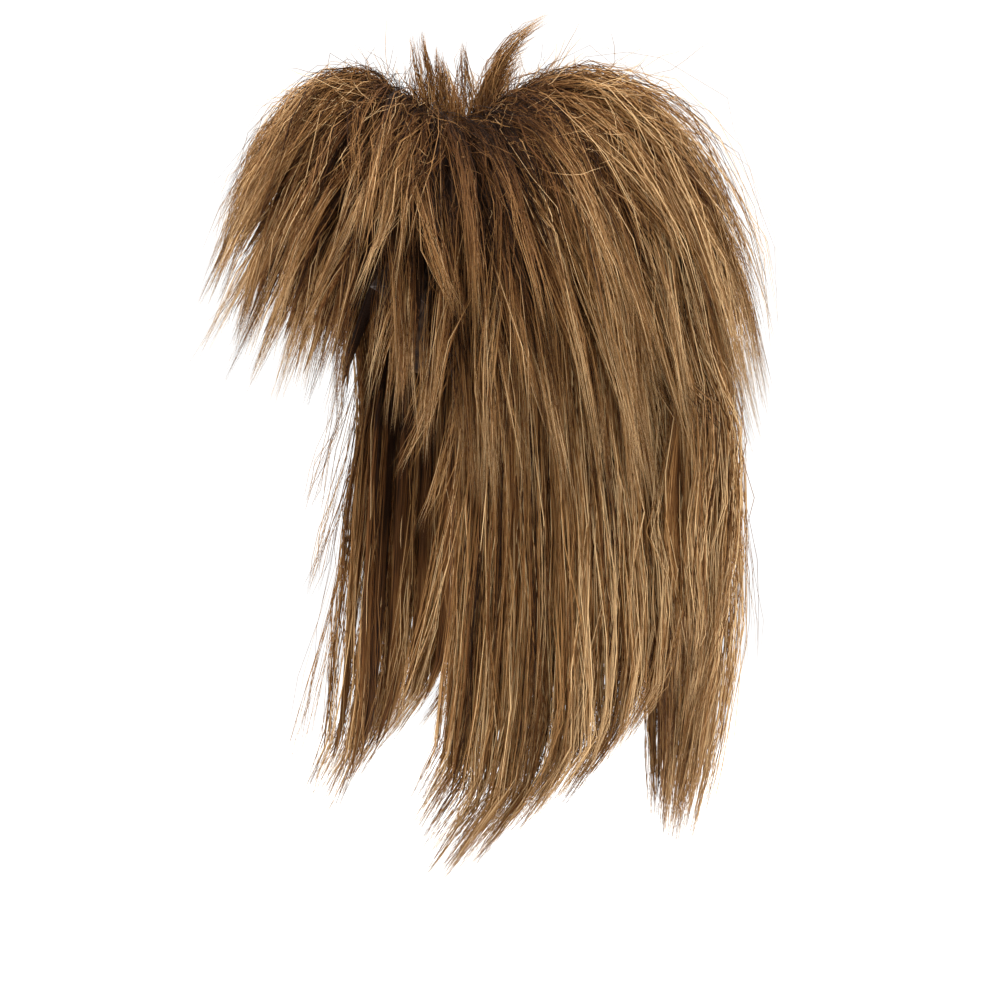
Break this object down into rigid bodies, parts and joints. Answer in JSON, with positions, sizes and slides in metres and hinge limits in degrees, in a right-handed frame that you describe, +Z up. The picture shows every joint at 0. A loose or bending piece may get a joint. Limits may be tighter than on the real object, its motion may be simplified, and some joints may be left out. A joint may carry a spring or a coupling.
{
  "type": "mullet wig",
  "caption": "Long-backed layered wig: spiky layered hair arching from a tufted crown over a hollow cap, with straight lengths hanging at the sides and the nape.",
  "frame": {"origin": "the inside of the cap at the crown, where the wig sits on the top of the head", "axes": "+Z up from the crown, -Y out of the face opening, +X towards the wearer's left"},
  "size_m": [0.2934, 0.3592, 0.5362],
  "materials": {
    "hair": "frizzy synthetic fibre with a soft sheen",
    "cap_net": "matte elastic net and sewn wefts"
  },
  "bodies": {
    "root": {"wig_cap": "cap_net", "crown_tuft": "hair", "fringe": "hair", "crown_layer_left": "hair", "crown_layer_back": "hair", "crown_layer_right": "hair", "side_length_left": "hair", "side_length_right": "hair", "nape_length": "hair"}
  },
  "joints": []
}
